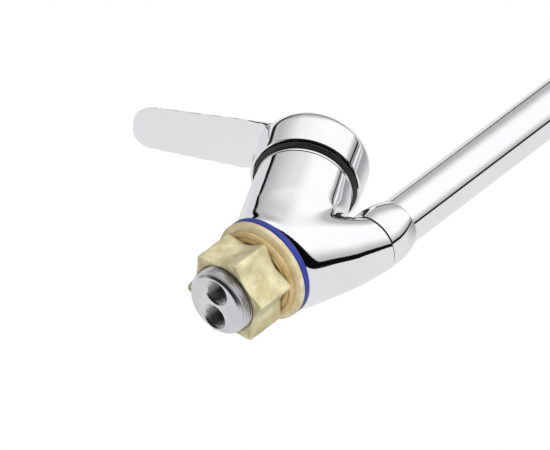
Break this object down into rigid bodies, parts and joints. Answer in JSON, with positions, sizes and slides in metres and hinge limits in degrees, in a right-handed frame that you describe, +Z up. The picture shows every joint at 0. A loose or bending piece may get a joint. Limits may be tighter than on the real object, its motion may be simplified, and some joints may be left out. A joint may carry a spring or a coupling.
{
  "type": "single-lever sink mixer tap",
  "caption": "Single-lever mixer tap with a leaning cartridge body, a swivelling C-shaped tube spout, and a threaded shank with a star nut for a deck hole.",
  "frame": {"origin": "centre of the underside of the mounting gasket, on the deck plane", "axes": "+Z up out of the deck along the shank's axis, -Y towards the user and the lever, +X to the user's right as seen from behind the tap"},
  "size_m": [0.0542, 0.1969, 0.3459],
  "materials": {
    "chrome": "polished chrome plate on brass or zinc",
    "plated_shank": "satin nickel plate on brass",
    "cast_brass": "raw pressed brass, matt",
    "turned_brass": "turned brass",
    "steel": "machined stainless steel",
    "blue_rubber": "moulded blue rubber",
    "black_rubber": "moulded nitrile rubber",
    "black_plastic": "satin black acetal",
    "white_plastic": "moulded acetal",
    "index_plastic": "moulded plug, half blue and half red",
    "ceramic": "lapped alumina ceramic"
  },
  "bodies": {
    "fixed": {"body_casting": "chrome", "threaded_shank": "plated_shank", "mounting_gasket": "blue_rubber", "cartridge_seals": "black_rubber", "cartridge_base": "white_plastic", "fixed_ceramic_disc": "ceramic", "cartridge_housing": "white_plastic", "cartridge_retaining_nut": "turned_brass", "trim_ring": "chrome", "slide_ring": "black_plastic", "spout_slip_ring": "black_plastic", "spout_lock_screw": "steel"},
    "clamp": {"clamping_flange": "cast_brass", "clamping_washer": "cast_brass"},
    "nut": {"star_nut": "cast_brass"},
    "rotor": {"turning_yoke": "white_plastic", "stem_pivot_pin": "steel"},
    "lever": {"handle": "chrome", "handle_grub_screw": "steel", "index_plug": "index_plastic", "cartridge_stem": "steel"},
    "disc": {"moving_ceramic_disc": "ceramic", "disc_carrier": "white_plastic"},
    "spout": {"spout_tube": "chrome", "spout_collar": "chrome", "spout_spigot": "turned_brass", "spout_o_rings": "black_rubber", "aerator_housing": "chrome", "aerator_insert": "white_plastic", "aerator_washer": "black_rubber", "aerator_screen": "white_plastic"}
  },
  "joints": [
    {"name": "nut_turn", "type": "hinge", "parent": "clamp", "child": "nut", "pos_m": [0, 0, 0], "axis": [0, 0, -1], "range_deg": [0, 2880]},
    {"name": "clamp_slide", "type": "slide", "parent": "fixed", "child": "clamp", "axis": [0, 0, -1], "range_m": [0, 0.012]},
    {"name": "lever_turn", "type": "hinge", "parent": "fixed", "child": "rotor", "pos_m": [0, 0.00443, 0.0035], "axis": [0, -0.4602, 0.8878], "range_deg": [-50, 50]},
    {"name": "lever_lift", "type": "hinge", "parent": "rotor", "child": "lever", "pos_m": [0, -0.02203, 0.05455], "axis": [-1, 0, 0], "range_deg": [0, 25]},
    {"name": "disc_slide", "type": "slide", "parent": "rotor", "child": "disc", "axis": [0, -0.8878, -0.4602], "range_m": [0, 0.0039]},
    {"name": "spout_swivel", "type": "hinge", "parent": "fixed", "child": "spout", "pos_m": [0, 0.02455, 0], "axis": [0, 0, 1], "range_deg": [-60, 60]}
  ],
  "couplings": [
    {"joint": "clamp_slide", "follows": "nut_turn", "m_per_rad": 0.00023873},
    {"joint": "disc_slide", "follows": "lever_lift", "m_per_rad": 0.0087}
  ]
}
